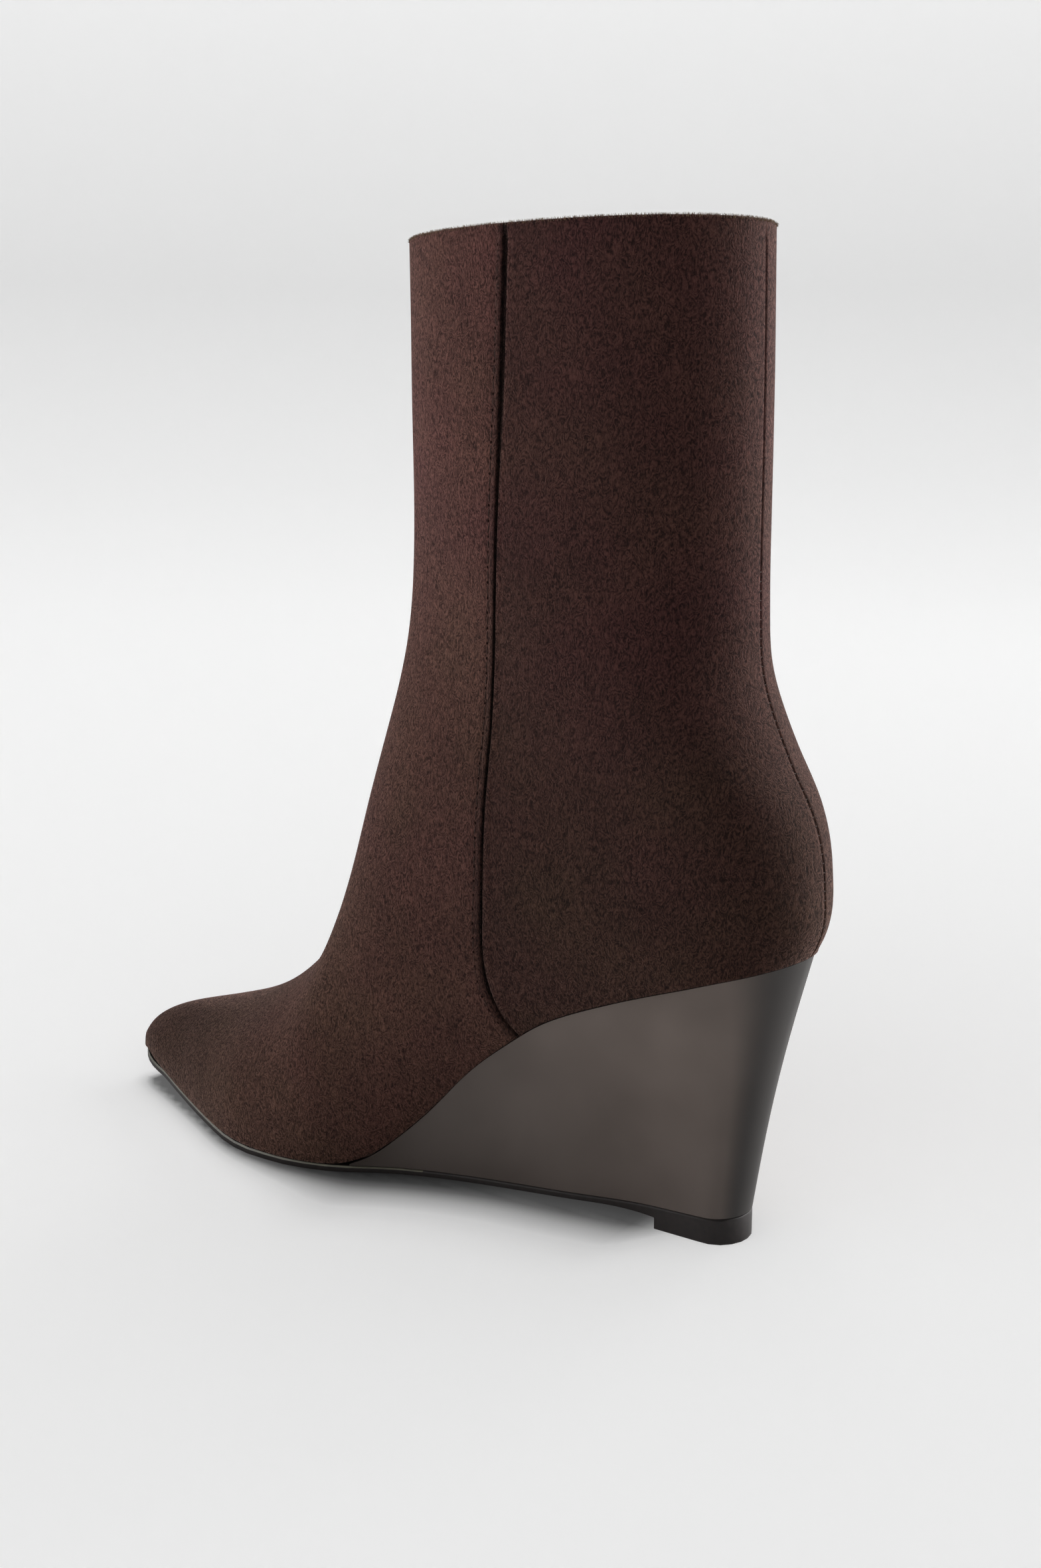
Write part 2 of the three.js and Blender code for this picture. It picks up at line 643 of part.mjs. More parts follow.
// The insole, inside the upper's wall on the wedge and the forefoot of the outsole.
function makeInsole() {
  const inset = WALL + 2 * FIT_GAP;
  const narrow = (y) =>
    Math.min(insetFeather("inner", y, inset), insetFeather("outer", y, inset)) - FIT_GAP;
  const back = root(narrow, 0, SEAT_ROUND);
  const front = root(narrow, LAST_LENGTH, 0.8 * LAST_LENGTH);
  const rows = closeAtEnds(SOLE_STATIONS).map((share) => {
    const y = back + (front - back) * share;
    return {
      y,
      innerHalf: Math.max(0, insetFeather("inner", y, inset)),
      outerHalf: Math.max(0, insetFeather("outer", y, inset)),
    };
  });
  const raised = (height) => rows.map((row) => ({ ...row, z: lastBottom(row.y) + layer(row.y, height) }));
  return makeSlab([raised(FIT_GAP + INSOLE_THICKNESS), raised(FIT_GAP)]);
}

function piece(name, geometry, colour, roughness) {
  const material = new THREE.MeshStandardMaterial({ color: colour, roughness, metalness: 0 });
  const mesh = new THREE.Mesh(geometry, material);
  mesh.name = name;
  return mesh;
}

// The origin is the middle of the heel lift's face on the floor.
const boot = new THREE.Group();
boot.position.set(0, -(LIFT_SET + LIFT_LENGTH / 2), 0);
boot.add(
  piece("upper", makeUpper(), "#43302b", 0.95),
  piece("wedge", makeWedge(), "#4a4541", 0.55),
  piece("outsole", makeOutsole(), "#2b2422", 0.6),
  piece("insole", makeInsole(), "#5b4a40", 0.8),
);

export default boot;
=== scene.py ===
import math
import random

import bpy
import numpy as np
from mathutils import Matrix, Vector
from mathutils.bvhtree import BVHTree
from mathutils.kdtree import KDTree


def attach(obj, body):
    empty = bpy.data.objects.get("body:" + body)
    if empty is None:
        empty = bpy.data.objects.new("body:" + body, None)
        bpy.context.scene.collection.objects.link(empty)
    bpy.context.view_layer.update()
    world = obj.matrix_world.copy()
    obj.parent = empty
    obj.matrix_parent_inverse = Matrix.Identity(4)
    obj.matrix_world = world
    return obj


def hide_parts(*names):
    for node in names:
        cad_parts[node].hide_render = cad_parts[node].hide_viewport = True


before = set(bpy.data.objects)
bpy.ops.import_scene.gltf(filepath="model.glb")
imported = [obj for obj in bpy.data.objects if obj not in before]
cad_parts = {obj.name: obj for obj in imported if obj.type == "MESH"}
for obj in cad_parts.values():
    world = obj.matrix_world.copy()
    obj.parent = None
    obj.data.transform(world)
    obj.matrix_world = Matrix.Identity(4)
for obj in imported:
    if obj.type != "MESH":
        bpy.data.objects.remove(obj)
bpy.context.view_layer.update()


# Camera
# A full-frame camera with a 40 mm lens, on the boot's inner side and a little behind it, at the
# height of the shaft and tilted slightly down.
MM = 0.001
TILT_DOWN = 11.16
HEADING = -55.05

camera_data = bpy.data.cameras.new("camera")
camera_data.lens = 40.51
camera_data.sensor_width = 36
camera_data.sensor_fit = "AUTO"
camera_data.clip_start = 0.01
camera_data.clip_end = 50
camera = bpy.data.objects.new("camera", camera_data)
camera.location = (-0.41844, -0.22642, 0.22307)
camera.rotation_euler = (math.radians(90 - TILT_DOWN), 0, math.radians(HEADING))
bpy.context.scene.collection.objects.link(camera)
bpy.context.scene.camera = camera
bpy.context.scene.view_settings.view_transform = "Standard"


# Studio floor and wall
# A painted infinity cove: the floor sweeps up into a round wall with no edge to be seen, and is
# rolled with a matt near-white emulsion, so it takes only the softest shadows.
def linear(hex_colour):
    """An sRGB hex colour as the linear values that a shader's socket takes."""
    parts = [int(hex_colour[i:i + 2], 16) / 255 for i in (1, 3, 5)]
    steps = [p / 12.92 if p <= 0.04045 else ((p + 0.055) / 1.055) ** 2.4 for p in parts]
    return (*steps, 1)


def start_material(name):
    """A new material with no nodes but its output."""
    made = bpy.data.materials.new(name)
    made.use_nodes = True
    made.node_tree.nodes.clear()
    made.node_tree.nodes.new("ShaderNodeOutputMaterial")
    return made


def add(made, kind, links=None, **settings):
    """Adds a node: settings are its own properties or its sockets' values, links go into its sockets."""
    node = made.node_tree.nodes.new(kind)
    for name, value in settings.items():
        if hasattr(node, name):
            setattr(node, name, value)
        else:
            node.inputs[name.replace("_", " ")].default_value = value
    for name, source in (links or {}).items():
        made.node_tree.links.new(source, node.inputs[name])
    return node


def ramp(made, factor, stops):
    """A colour ramp on a factor, from its stops' places and colours."""
    node = add(made, "ShaderNodeValToRGB", {"Fac": factor})
    elements = node.color_ramp.elements
    while len(elements) < len(stops):
        elements.new(0.5)
    for element, (position, colour) in zip(elements, stops):
        element.position = position
        element.color = colour
    return node


def grey(level):
    """A linear grey."""
    return (level, level, level, 1)


def close_up(made, shader):
    """Links the last shader to the material's output."""
    output = made.node_tree.nodes["Material Output"]
    made.node_tree.links.new(shader.outputs[0], output.inputs["Surface"])


def eased(value, start, end):
    """A smooth step from 0 at the start to 1 at the end, of a number or an array."""
    share = np.clip((value - start) / (end - start), 0, 1)
    return share * share * (3 - 2 * share)


FLOOR_RADIUS = 1.9
COVE_RADIUS = 1.1
COVE_STEPS = 12
WALL_TOP = 3.4

# The floor is a fine grid round the boot, spread out to the wide circle where the wall rises.
PATCH_SIZE = 0.56
PATCH_STEPS = 160
bpy.ops.mesh.primitive_grid_add(
    x_subdivisions=PATCH_STEPS, y_subdivisions=PATCH_STEPS, size=PATCH_SIZE, location=(0, 0.1, 0)
)
bpy.ops.object.transform_apply(location=True)
cove = bpy.context.active_object
cove.name = "studio_cove"
bpy.ops.object.mode_set(mode="EDIT")
bpy.ops.mesh.select_mode(type="EDGE")
bpy.ops.mesh.select_all(action="DESELECT")
bpy.ops.mesh.select_non_manifold()
bpy.ops.mesh.extrude_region_move(TRANSFORM_OT_translate={"value": (0, 0, 0)})
bpy.ops.object.mode_set(mode="OBJECT")
for vertex in cove.data.vertices:
    if vertex.select:
        vertex.co = vertex.co.normalized() * FLOOR_RADIUS
bpy.ops.object.mode_set(mode="EDIT")
reach = FLOOR_RADIUS
for step in range(1, COVE_STEPS + 1):
    turn = math.radians(90) * step / COVE_STEPS
    last_turn = math.radians(90) * (step - 1) / COVE_STEPS
    rise = COVE_RADIUS * (math.cos(last_turn) - math.cos(turn))
    wider = FLOOR_RADIUS + COVE_RADIUS * math.sin(turn)
    bpy.ops.mesh.extrude_region_move(TRANSFORM_OT_translate={"value": (0, 0, rise)})
    bpy.ops.transform.resize(value=(wider / reach, wider / reach, 1), center_override=(0, 0, 0))
    reach = wider
bpy.ops.mesh.extrude_region_move(TRANSFORM_OT_translate={"value": (0, 0, WALL_TOP - COVE_RADIUS)})
bpy.ops.mesh.select_all(action="SELECT")
bpy.ops.mesh.normals_make_consistent(inside=True)
bpy.ops.object.mode_set(mode="OBJECT")
bpy.ops.object.shade_smooth()

# Painted shadow: the floor is darkened where the forepart's sole stands close over it: distance
# from the sole in plan, in millimetres, and what share of the floor's light is left there. The painted
# shadow is paler and narrower round the toe, paler under the shank, and fades out beside the heel lift.
PAINTED_SHADOW_TONES = [(0, 0.03), (4, 0.07), (8, 0.18), (15, 0.52), (24, 0.84), (34, 0.95), (46, 1.0)]
PAINTED_SHADOW_REACH = 46
TOE_SHADOW_NARROWER = 4.0
TOE_SHADOW_PALER = 9
SHANK_SHADOW_PALER = 6
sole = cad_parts["outsole"].data
flat_sole = BVHTree.FromPolygons(
    [(v.co.x, v.co.y, 0) for v in sole.vertices], [tuple(face.vertices) for face in sole.polygons]
)
shadow_gaps = cove.data.attributes.new("painted_shadow_gap", "FLOAT", "POINT")
for vertex in cove.data.vertices:
    place = vertex.co
    away = flat_sole.find_nearest(Vector((place.x, place.y, 0)))[3] / MM
    toe_share = eased(place.y, 95 * MM, 195 * MM)
    away += TOE_SHADOW_PALER * toe_share + TOE_SHADOW_NARROWER * toe_share * away
    away += SHANK_SHADOW_PALER * (1 - eased(place.y, 50 * MM, 110 * MM))
    away += PAINTED_SHADOW_REACH * (1 - eased(place.y, -12 * MM, 22 * MM))
    shadow_gaps.data[vertex.index].value = min(1.0, away / PAINTED_SHADOW_REACH)

emulsion = start_material("matt emulsion on the cove, with painted contact shadow")
cove_place = add(emulsion, "ShaderNodeTexCoord").outputs["Object"]
on_cove = add(emulsion, "ShaderNodeSeparateXYZ", {"Vector": cove_place})
painted_shadow_gap = add(emulsion, "ShaderNodeAttribute", attribute_name="painted_shadow_gap").outputs["Fac"]
painted_contact_shadow = ramp(emulsion, painted_shadow_gap, [(gap / PAINTED_SHADOW_REACH, grey(left)) for gap, left in PAINTED_SHADOW_TONES])
paint_with_painted_shadow = add(
    emulsion, "ShaderNodeMixRGB", {"Color1": painted_contact_shadow.outputs[0]},
    blend_type="MULTIPLY", Fac=1.0, Color2=linear("#e6e6e6"),
)
paint = add(emulsion, "ShaderNodeBsdfDiffuse", {"Color": paint_with_painted_shadow.outputs[0]}, Roughness=1.0)
wall_share = add(
    emulsion, "ShaderNodeMapRange", {"Value": on_cove.outputs[2]}, From_Min=0.0, From_Max=1.6,
)
# How brightly the paint glows, at shares of the height above.
WASH_TONES = [(0.0, 0.43), (0.1, 0.35), (0.3, 0.24), (0.72, 0.43)]
wash = ramp(emulsion, wall_share.outputs[0], [(share, grey(glow)) for share, glow in WASH_TONES])
glow = add(
    emulsion, "ShaderNodeEmission", {"Color": paint_with_painted_shadow.outputs[0], "Strength": wash.outputs[0]},
)
close_up(emulsion, add(emulsion, "ShaderNodeAddShader", {0: paint.outputs[0], 1: glow.outputs[0]}))
emulsion.cycles.emission_sampling = "NONE"
cove.data.materials.append(emulsion)


# Studio lights
# Two soft boxes light the boot from the camera's left and right, and are flagged off the cove,
# whose paint glows a little. A big bank overhead and a small key behind light the cove alone.
def soft_box(name, place, aim, size, power, cove_share):
    """A soft box that faces its aim, and lights the cove "only" or all but it, "none"."""
    lamp = bpy.data.lights.new(name, "AREA")
    lamp.shape = "RECTANGLE"
    lamp.size, lamp.size_y = size
    lamp.energy = power
    box = bpy.data.objects.new(name, lamp)
    turn = (Vector(aim) - Vector(place)).to_track_quat("-Z", "Y")
    box.matrix_world = Matrix.LocRotScale(Vector(place), turn, None)
    box.visible_camera = False
    bpy.context.scene.collection.objects.link(box)
    lit = bpy.data.collections.new(f"{name}_falls_on")
    lit.objects.link(cove)
    state = "INCLUDE" if cove_share == "only" else "EXCLUDE"
    lit.collection_objects[0].light_linking.link_state = state
    box.light_linking.receiver_collection = lit


VIEW_RIGHT = Vector((0.573, -0.8196, 0))
VIEW_FORWARD = Vector((0.8196, 0.573, 0))


def in_view(right, forward, up):
    """A studio place in metres: to the right of the boot and beyond it, as the camera sees it."""
    return VIEW_RIGHT * right + VIEW_FORWARD * forward + Vector((0, 0.08, up))


BOOT_MIDDLE = in_view(0, 0, 0.14)
soft_box("left_box", in_view(-1.2, 0.1, 0.6), BOOT_MIDDLE, (0.8, 0.9), 16, "none")
soft_box("right_box", in_view(1.2, 0.37, 0.45), BOOT_MIDDLE, (0.8, 1.2), 50, "none")
soft_box("bank", in_view(0.35, 0.5, 3.2), in_view(0, 0, 0), (2.4, 2.4), 28, "only")
soft_box("rear_key", in_view(1.0, 0.9, 1.3), in_view(0, 0, 0), (0.4, 0.4), 2, "only")

room = bpy.data.worlds.new("pale_room")
room.use_nodes = True
room.node_tree.nodes["Background"].inputs["Color"].default_value = linear("#f2f2f2")
room.node_tree.nodes["Background"].inputs["Strength"].default_value = 0.02
bpy.context.scene.world = room


# Upper
# Polyester microsuede on a knitted backing, two panels lapped at the sides and joined up the back,
# stitched and pulled over the last, with its topline turned in and a knitted lining inside.
def work_on(piece):
    """Makes a piece the only selected one, and active."""
    bpy.ops.object.select_all(action="DESELECT")
    piece.select_set(True)
    bpy.context.view_layer.objects.active = piece


def merged_copy(node, name):
    """A CAD node's shape as a new piece: its loose triangles merged, and joined to quads."""
    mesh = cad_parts[node].data.copy()
    mesh.name = name
    mesh.materials.clear()
    piece = bpy.data.objects.new(name, mesh)
    bpy.context.scene.collection.objects.link(piece)
    work_on(piece)
    if mesh.has_custom_normals:
        bpy.ops.mesh.customdata_custom_splitnormals_clear()
    bpy.ops.object.mode_set(mode="EDIT")
    bpy.ops.mesh.select_mode(type="VERT")
    bpy.ops.mesh.select_all(action="SELECT")
    bpy.ops.mesh.remove_doubles(threshold=0.02 * MM)
    bpy.ops.mesh.tris_convert_to_quads(
        face_threshold=math.radians(50), shape_threshold=math.radians(80)
    )
    bpy.ops.object.mode_set(mode="OBJECT")
    return piece


def crease_sharp(piece, angle, amount):
    """Holds the edges that are sharper than the angle when the piece is subdivided."""
    work_on(piece)
    bpy.ops.object.mode_set(mode="EDIT")
    bpy.ops.mesh.select_mode(type="EDGE")
    bpy.ops.mesh.select_all(action="DESELECT")
    bpy.ops.mesh.edges_select_sharp(sharpness=math.radians(angle))
    bpy.ops.transform.edge_crease(value=amount)
    bpy.ops.object.mode_set(mode="OBJECT")


def subdivide_smoothly(piece, levels):
    """Rounds a piece with subdivision and keeps the result as its mesh."""
    work_on(piece)
    rounding = piece.modifiers.new("rounding", "SUBSURF")
    rounding.levels = levels
    rounding.render_levels = levels
    bpy.ops.object.modifier_apply(modifier=rounding.name)
    bpy.ops.object.shade_smooth()


TOPLINE = 277 * MM
upper = merged_copy("upper", "boot_upper")

# The lining's faces are those whose near side lies in the hollow: the wall stands on both sides.
upper.data.materials.append(None)
upper.data.materials.append(None)
wall_tree = BVHTree.FromObject(upper, bpy.context.evaluated_depsgraph_get())
HOLLOW_STEP = 2.4 * MM
for face in upper.data.polygons:
    near = face.center + face.normal * HOLLOW_STEP
    walls = [wall_tree.ray_cast(near, Vector((way, 0, 0)), 0.12)[0] for way in (-1, 1)]
    face.material_index = 1 if all(walls) else 0

# The lasted and lapped edges, which turn by more than this angle, stay crisp when it is rounded.
LASTED_EDGE = 33
crease_sharp(upper, LASTED_EDGE, 1.0)

# The lasted instep flows softly from the vamp into the shaft, and the lining goes with it.
INSTEP = Vector((0, 134 * MM, 62 * MM))
INSTEP_REACH = 29 * MM
skin = {corner for face in upper.data.polygons if face.material_index == 0 for corner in face.vertices}
instep = upper.vertex_groups.new(name="instep")
for vertex in upper.data.vertices:
    share = math.exp(-((vertex.co - INSTEP).length / INSTEP_REACH) ** 2)
    if vertex.index in skin and share > 0.01:
        instep.add([vertex.index], share, "REPLACE")
before = [vertex.co.copy() for vertex in upper.data.vertices]
lasting = upper.modifiers.new("lasted instep", "SMOOTH")
lasting.factor = 0.5
lasting.iterations = 5
lasting.vertex_group = instep.name
bpy.ops.object.modifier_apply(modifier=lasting.name)
skin_tree = KDTree(len(skin))
for corner in skin:
    skin_tree.insert(before[corner], corner)
skin_tree.balance()
FOLLOWED = 4
for vertex in upper.data.vertices:
    if vertex.index not in skin:
        nearest = skin_tree.find_n(vertex.co, FOLLOWED)
        weights = [1 / (distance + 0.1 * MM) for _, _, distance in nearest]
        moves = [upper.data.vertices[corner].co - before[corner] for _, corner, _ in nearest]
        total = sum(weights)
        for weight, move in zip(weights, moves):
            vertex.co += move * (weight / total)

# The topline is turned over, so its two edges are rounder than the lasted and lapped ones.
TOPLINE_CREASE = 0.45
creases = upper.data.attributes["crease_edge"]
for edge in upper.data.edges:
    if min(upper.data.vertices[v].co.z for v in edge.vertices) > TOPLINE - 0.1 * MM:
        if creases.data[edge.index].value > 0:
            creases.data[edge.index].value = TOPLINE_CREASE
subdivide_smoothly(upper, 2)
upper_tree = BVHTree.FromObject(upper, bpy.context.evaluated_depsgraph_get())

# Line of the front panel's lapped edge in side view, from the wedge up to the topline (y, z in mm).
SEAM_LINE = [
    (51.2, 53.4), (58.4, 67.1), (59.8, 83.2), (59.0, 99.4), (58.6, 115.5), (58.1, 131.7),
    (57.4, 147.9), (56.6, 164.0), (55.4, 180.2), (53.9, 196.3), (52.3, 212.4), (51.15, 228.5),
    (50.3, 244.7), (49.6, 260.8), (48.9, 277.0),
]


def smooth_line(points, per_span):
    """Points along a smooth curve through the given ones."""
    rows = [Vector(p) for p in points]
    rows = [2 * rows[0] - rows[1], *rows, 2 * rows[-1] - rows[-2]]
    line = []
    for a, b, c, d in zip(rows, rows[1:], rows[2:], rows[3:]):
        for k in range(per_span):
            t = k / per_span
            line.append(0.5 * (2 * b + (c - a) * t + (2 * a - 5 * b + 4 * c - d) * t * t
                               + (3 * b - a - 3 * c + d) * t ** 3))
    return [*line, rows[-2]]


seam = np.array([tuple(p) for p in smooth_line([(0, y, z) for y, z in SEAM_LINE], 6)])[:, 1:] * MM


def seam_place(points):
    """Distance ahead of the seam line and height along it, in metres, for an array of y and z."""
    start, step = seam[:-1], np.diff(seam, axis=0)
    length = np.linalg.norm(step, axis=1)
    run = np.concatenate([[0], np.cumsum(length)])
    best = np.full(len(points), np.inf)
    ahead = np.zeros(len(points))
    along = np.zeros(len(points))
    for k in range(len(step)):
        away = points - start[k]
        share = np.clip(away @ step[k] / length[k] ** 2, 0, 1)
        off = away - share[:, None] * step[k]
        distance = np.linalg.norm(off, axis=1)
        closer = distance < best
        side = step[k][1] * away[:, 0] - step[k][0] * away[:, 1]
        best = np.where(closer, distance, best)
        ahead = np.where(closer, np.sign(side) * distance, ahead)
        along = np.where(closer, run[k] + share * length[k], along)
    return ahead, along


points = np.zeros(len(upper.data.vertices) * 3)
upper.data.vertices.foreach_get("co", points)
points = points.reshape(-1, 3)
ahead, along = seam_place(points[:, 1:])
height = points[:, 2]
outer_faces = [face for face in upper.data.polygons if face.material_index == 0]
outside = np.zeros(len(points), bool)
outside[[corner for face in outer_faces for corner in face.vertices]] = True


def near_line(distance, middle, width):
    """A soft bell: 1 on a line beside the seam, 0 from about twice the width away."""
    return np.exp(-(((distance - middle) / width) ** 2))


# The thread draws the lap down in a soft trough, the cut edge swells a little beside it, and the
# gap under the edge narrows from the topline down to the ankle, where the panels lie tighter.
STITCH_AHEAD = 2.3 * MM
TROUGH_DEPTH = 0.22 * MM
SWELL = 0.12 * MM
SWELL_AHEAD = 0.9 * MM
GAP_FILL = 0.6 * MM
BACK_DIP = 0.12 * MM
DIP_BEHIND = 2.6 * MM
TIGHT_BELOW = 0.19
LOOSE_ABOVE = 0.245
tight = 1 - eased(height, TIGHT_BELOW, LOOSE_ABOVE)
in_gap = eased(-ahead, 0.75 * MM, 1.15 * MM) * (1 - eased(-ahead, 1.55 * MM, 2.0 * MM))
relief = -TROUGH_DEPTH * near_line(ahead, STITCH_AHEAD, 0.6 * MM)
relief += SWELL * near_line(ahead, SWELL_AHEAD, 0.5 * MM)
relief += GAP_FILL * tight * in_gap
relief -= BACK_DIP * near_line(ahead, -DIP_BEHIND, 0.5 * MM)
normals = np.zeros(len(points) * 3)
upper.data.vertices.foreach_get("normal", normals)
under_rim = 1 - eased(height, TOPLINE - 3 * MM, TOPLINE - 1 * MM)
points += normals.reshape(-1, 3) * (relief * outside * under_rim)[:, None]
upper.data.vertices.foreach_set("co", points.ravel())
upper.data.update()
seam_map = upper.data.uv_layers.new(name="seam")
loops = np.zeros(len(upper.data.loops), int)
upper.data.loops.foreach_get("vertex_index", loops)
seam_map.data.foreach_set("uv", np.column_stack([ahead[loops], along[loops]]).ravel() / MM)

# The outside. Sueded microfibre has no shine at its middle and a soft bloom at the edges, where
# the light grazes the nap's tips. Its short fibres lie in wavy worms 0.3 mm wide and about 1 mm
# long, which a smooth noise folded to and fro draws; they are half as wide again as the real ones
# so that they show. The front panel is coloured lighter than the back panel, and painted shade
# fills the gap under the lapped edge and fades out on either side of it.
TIP_WIDTH = 0.585
WAVE_WIDTH = 2.4
WORMS_A_WAVE = 7.0
WORM_DEPTH = 0.36
microsuede = start_material("microsuede, sanded polyester microfibre")
place = add(microsuede, "ShaderNodeTexCoord").outputs["Object"]
upright = add(microsuede, "ShaderNodeMapping", {"Vector": place}, Scale=(1, 1, 0.55))
waves = add(
    microsuede, "ShaderNodeTexNoise", {"Vector": upright.outputs[0]},
    Scale=1 / (WAVE_WIDTH * MM), Detail=0.0, Distortion=0.6,
)
many = add(microsuede, "ShaderNodeMath", {0: waves.outputs[0]}, operation="MULTIPLY")
many.inputs[1].default_value = WORMS_A_WAVE
worms = add(microsuede, "ShaderNodeMath", {0: many.outputs[0]}, operation="PINGPONG")
worms.inputs[1].default_value = 0.5
tips = add(
    microsuede, "ShaderNodeTexNoise", {"Vector": upright.outputs[0]},
    Scale=1 / (TIP_WIDTH * MM), Detail=3.0, Roughness=0.7, Distortion=1.2,
)
worm_share = add(microsuede, "ShaderNodeMath", {0: worms.outputs[0]}, operation="MULTIPLY_ADD")
worm_share.inputs[1].default_value = WORM_DEPTH
worm_share.inputs[2].default_value = -WORM_DEPTH / 4
nap = add(microsuede, "ShaderNodeMath", {0: tips.outputs[0], 1: worm_share.outputs[0]}, operation="ADD")
patches = add(
    microsuede, "ShaderNodeTexNoise", {"Vector": place},
    Scale=1 / (26 * MM), Detail=2.5, Roughness=0.55,
)
pits_and_tips = ramp(
    microsuede, nap.outputs[0], [(0.36, linear("#1f1310")), (0.68, linear("#4e352d"))]
)
cloud = add(
    microsuede, "ShaderNodeMapRange", {"Value": patches.outputs[0]},
    From_Min=0.3, From_Max=0.7, To_Min=0.9, To_Max=1.1,
)
seam_uv = add(microsuede, "ShaderNodeUVMap", uv_map="seam")
ahead_of_seam = add(microsuede, "ShaderNodeSeparateXYZ", {"Vector": seam_uv.outputs[0]}).outputs[0]
seam_span = add(
    microsuede, "ShaderNodeMapRange", {"Value": ahead_of_seam}, From_Min=-4.0, From_Max=4.0,
)
# Distance ahead of the seam in millimetres, and the tone of the cloth there: the back panel darker than
# the front, with painted shade in and beside the gap under the lapped edge.
GAP_SHADE_AND_PANEL_TONES = [
    (-4.0, 0.6), (-2.2, 0.66), (-1.7, 0.5), (-1.1, 0.1), (-0.15, 0.1), (0.15, 0.5), (1.9, 0.72),
    (2.6, 0.85), (3.4, 1.0),
]
gap_shade_and_panel_tone = ramp(
    microsuede, seam_span.outputs[0], [((ahead_mm + 4) / 8, grey(tone)) for ahead_mm, tone in GAP_SHADE_AND_PANEL_TONES]
)
in_boot = add(microsuede, "ShaderNodeSeparateXYZ", {"Vector": place})
# The cloth is coloured lighter up the shaft and darker over the toe.
tone_up_shaft = add(
    microsuede, "ShaderNodeMapRange", {"Value": in_boot.outputs[2]},
    interpolation_type="SMOOTHSTEP", From_Min=0.1, From_Max=0.22, To_Min=0.96, To_Max=1.24,
)
toe_tone = add(
    microsuede, "ShaderNodeMapRange", {"Value": in_boot.outputs[1]},
    interpolation_type="SMOOTHSTEP", From_Min=0.12, From_Max=0.19, To_Min=1.0, To_Max=0.56,
)
toe_and_shaft_tone = add(
    microsuede, "ShaderNodeMath", {0: toe_tone.outputs[0], 1: tone_up_shaft.outputs[0]},
    operation="MULTIPLY",
)
cloud_tone = add(
    microsuede, "ShaderNodeMath", {0: cloud.outputs[0], 1: toe_and_shaft_tone.outputs[0]},
    operation="MULTIPLY",
)
tone = add(
    microsuede, "ShaderNodeMath", {0: cloud_tone.outputs[0], 1: gap_shade_and_panel_tone.outputs[0]},
    operation="MULTIPLY",
)
dye = add(
    microsuede, "ShaderNodeTexNoise", {"Vector": place}, noise_dimensions="4D", W=3.0,
    Scale=1 / (38 * MM), Detail=2.0,
)
dye_hue = add(
    microsuede, "ShaderNodeMapRange", {"Value": dye.outputs[0]},
    From_Min=0.35, From_Max=0.65, To_Min=-0.009, To_Max=0.009,
)
level_hue = add(
    microsuede, "ShaderNodeMapRange", {"Value": in_boot.outputs[2]},
    interpolation_type="SMOOTHSTEP", From_Min=0.06, From_Max=0.23, To_Min=0.504, To_Max=0.486,
)
hue = add(microsuede, "ShaderNodeMath", {0: dye_hue.outputs[0], 1: level_hue.outputs[0]}, operation="ADD")
clouded = add(
    microsuede, "ShaderNodeHueSaturation",
    {"Color": pits_and_tips.outputs[0], "Value": tone.outputs[0], "Hue": hue.outputs[0]},
)
bloom = ramp(microsuede, nap.outputs[0], [(0.4, linear("#2a1b18")), (0.66, linear("#d0a89c"))])
fuzz = add(
    microsuede, "ShaderNodeBump", {"Height": nap.outputs[0]},
    Strength=0.9, Distance=0.35 * MM,
)
cloth = add(
    microsuede, "ShaderNodeBsdfPrincipled",
    {"Base Color": clouded.outputs[0], "Normal": fuzz.outputs[0], "Sheen Tint": bloom.outputs[0]},
    Roughness=0.95, IOR=1.45, Specular_IOR_Level=0.1,
    Sheen_Weight=0.6, Sheen_Roughness=0.35,
)
close_up(microsuede, cloth)

# The inside. A warp-knitted polyester lining: thin, flat and dull, with fine upright ribs.
lining = start_material("tricot lining, warp-knitted polyester")
inside = add(lining, "ShaderNodeTexCoord").outputs["Object"]
ribs = add(
    lining, "ShaderNodeTexNoise",
    {"Vector": add(lining, "ShaderNodeMapping", {"Vector": inside}, Scale=(1, 1, 0.25)).outputs[0]},
    Scale=1 / (1.0 * MM), Detail=2.0,
)
rib_colour = ramp(lining, ribs.outputs[0], [(0.3, linear("#3a2a25")), (0.7, linear("#54423b"))])
rib_bump = add(lining, "ShaderNodeBump", {"Height": ribs.outputs[0]}, Strength=0.4, Distance=0.2 * MM)
close_up(lining, add(
    lining, "ShaderNodeBsdfPrincipled",
    {"Base Color": rib_colour.outputs[0], "Normal": rib_bump.outputs[0]},
    Roughness=0.85, Specular_IOR_Level=0.25, Sheen_Weight=0.1,
))

upper.data.materials[0] = microsuede
upper.data.materials[1] = lining
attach(upper, "root")
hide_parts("upper")


# Seam stitches
# Bonded polyester thread, 0.3 mm thick: a lockstitch row along each lapped edge, which sinks into
# the nap and leaves a dark pinhole at each end, and short bars across the closed seam up the back.
def joined(parts, name):
    """Like pieces, each with its own mesh, joined to one."""
    bpy.ops.object.select_all(action="DESELECT")
    for part in parts:
        part.select_set(True)
    bpy.context.view_layer.objects.active = parts[0]
    bpy.ops.object.join()
    whole = bpy.context.active_object
    whole.name = name
    whole.data.name = name
    return whole


def placed_copy(model, matrix):
    """A copy of a model with its own mesh, put in place."""
    twin = bpy.data.objects.new(model.name, model.data.copy())
    twin.data.transform(matrix)
    bpy.context.scene.collection.objects.link(twin)
    return twin


